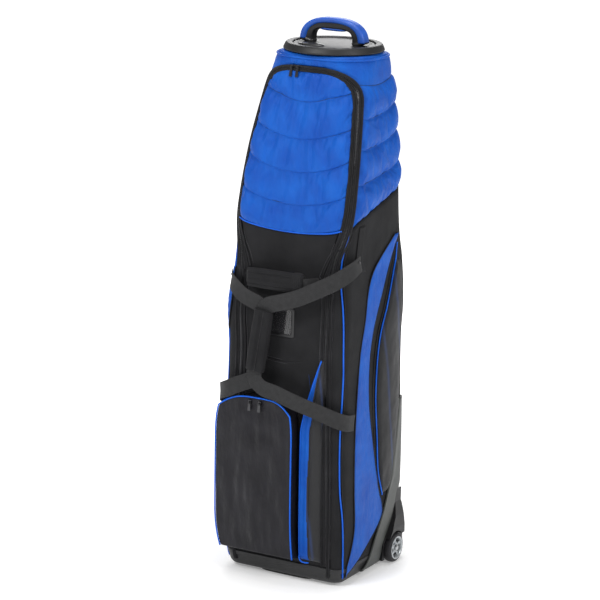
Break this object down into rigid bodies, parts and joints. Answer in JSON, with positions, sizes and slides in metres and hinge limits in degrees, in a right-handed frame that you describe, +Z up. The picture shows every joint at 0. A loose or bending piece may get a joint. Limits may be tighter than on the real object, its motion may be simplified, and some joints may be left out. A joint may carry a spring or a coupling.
{
  "type": "golf travel case",
  "caption": "Tall soft travel case for a golf bag: quilted hood, zipped front flap, pockets, carry straps, moulded crown with a turning handle, and wheels at the rear corners.",
  "frame": {"origin": "on the floor, under the middle of the standing case's bounding box", "axes": "+Z up from the floor to the handle, the flap and pockets face -Y, +X is to the right of a person who faces the front"},
  "size_m": [0.3674, 0.3694, 1.3],
  "materials": {
    "black_nylon": "woven 600 denier polyester",
    "smooth_nylon": "coated nylon with a soft shine",
    "blue_nylon": "royal blue twill polyester",
    "black_webbing": "ribbed webbing",
    "zip_tape": "coil zip tape",
    "black_plastic": "moulded, fine texture",
    "grey_plastic": "moulded, semi-gloss",
    "blue_rubber": "soft overmould",
    "wheel_rubber": "polyurethane tyre",
    "silver_plastic": "silver moulded",
    "steel": "turned",
    "clear_vinyl": "clear vinyl",
    "card": "blank card"
  },
  "bodies": {
    "case_shell": {"wheel_housing_right": "black_plastic", "wheel_housing_left": "black_plastic", "wheel_axle_right": "steel", "wheel_axle_left": "steel", "base_tray": "black_plastic", "front_foot": "black_plastic", "side_wall_right": "black_nylon", "side_wall_left": "black_nylon", "front_jamb_right": "black_nylon", "front_jamb_left": "black_nylon", "hood_side_right": "blue_nylon", "hood_side_left": "blue_nylon", "back_wall": "black_nylon", "hood_back": "blue_nylon", "back_board": "grey_plastic", "hood_cover": "blue_nylon", "crown_ring": "black_plastic", "zip_tape_body": "zip_tape", "side_band_right": "blue_nylon", "side_band_left": "blue_nylon", "corner_rail_right": "grey_plastic", "corner_rail_left": "grey_plastic", "side_pocket_right": "smooth_nylon", "side_pocket_left": "smooth_nylon", "carry_strap_right": "black_webbing", "carry_strap_left": "black_webbing", "handle_wrap": "black_webbing", "strap_patch_right": "black_webbing", "strap_patch_left": "black_webbing", "tie_strap_lower": "black_webbing", "tie_strap_upper": "black_webbing"},
    "top_handle": {"handle_turntable": "black_plastic", "pivot_washer": "steel", "handle_core": "black_plastic", "handle_grip": "blue_rubber", "crown_badge": "black_plastic"},
    "wheel_right": {"tyre_right": "wheel_rubber", "wheel_hub_right": "silver_plastic", "wheel_bearing_right": "steel"},
    "wheel_left": {"tyre_left": "wheel_rubber", "wheel_hub_left": "silver_plastic", "wheel_bearing_left": "steel"},
    "front_flap": {"flap_lower": "black_nylon", "flap_quilt": "blue_nylon", "zip_tape_flap": "zip_tape", "front_pocket": "smooth_nylon", "slim_pocket": "blue_nylon", "window_frame": "black_plastic", "window_pane": "clear_vinyl", "name_card": "card", "grab_handle": "black_webbing", "grab_webbing": "black_webbing"},
    "main_zip_left": {"main_left_slider": "black_plastic"},
    "main_tab_left": {"main_left_pull": "black_plastic"},
    "main_zip_right": {"main_right_slider": "black_plastic"},
    "main_tab_right": {"main_right_pull": "black_plastic"},
    "pocket_zip_left": {"pocket_left_slider": "black_plastic"},
    "pocket_tab_left": {"pocket_left_pull": "black_plastic"},
    "pocket_zip_right": {"pocket_right_slider": "black_plastic"},
    "pocket_tab_right": {"pocket_right_pull": "black_plastic"}
  },
  "joints": [
    {"name": "handle_turn", "type": "hinge", "parent": "case_shell", "child": "top_handle", "pos_m": [0, 0.06534, 1.24], "axis": [0, 0, 1], "continuous": true},
    {"name": "wheel_spin_right", "type": "hinge", "parent": "case_shell", "child": "wheel_right", "pos_m": [0.166, 0.12534, 0.036], "axis": [1, 0, 0], "continuous": true},
    {"name": "wheel_spin_left", "type": "hinge", "parent": "case_shell", "child": "wheel_left", "pos_m": [-0.166, 0.12534, 0.036], "axis": [1, 0, 0], "continuous": true},
    {"name": "flap_open", "type": "hinge", "parent": "case_shell", "child": "front_flap", "pos_m": [0, -0.13466, 0.046], "axis": [1, 0, 0], "range_deg": [0, 75], "deforming": ["carry_strap_right", "carry_strap_left", "handle_wrap"]},
    {"name": "main_slide_left", "type": "slide", "parent": "front_flap", "child": "main_zip_left", "axis": [1, 0, 0], "range_m": [-0.015, 0]},
    {"name": "main_pull_left", "type": "hinge", "parent": "main_zip_left", "child": "main_tab_left", "pos_m": [-0.04, -0.06038, 1.196], "axis": [1, 0, 0], "range_deg": [-150, 0]},
    {"name": "main_slide_right", "type": "slide", "parent": "front_flap", "child": "main_zip_right", "axis": [1, 0, 0], "range_m": [0, 0.06]},
    {"name": "main_pull_right", "type": "hinge", "parent": "main_zip_right", "child": "main_tab_right", "pos_m": [-0.024, -0.06038, 1.196], "axis": [1, 0, 0], "range_deg": [-150, 0]},
    {"name": "pocket_slide_left", "type": "slide", "parent": "front_flap", "child": "pocket_zip_left", "axis": [1, 0, 0], "range_m": [-0.015, 0]},
    {"name": "pocket_pull_left", "type": "hinge", "parent": "pocket_zip_left", "child": "pocket_tab_left", "pos_m": [-0.062, -0.17941, 0.43], "axis": [1, 0, 0], "range_deg": [-150, 0]},
    {"name": "pocket_slide_right", "type": "slide", "parent": "front_flap", "child": "pocket_zip_right", "axis": [1, 0, 0], "range_m": [0, 0.03]},
    {"name": "pocket_pull_right", "type": "hinge", "parent": "pocket_zip_right", "child": "pocket_tab_right", "pos_m": [-0.036, -0.17941, 0.43], "axis": [1, 0, 0], "range_deg": [-150, 0]}
  ]
}
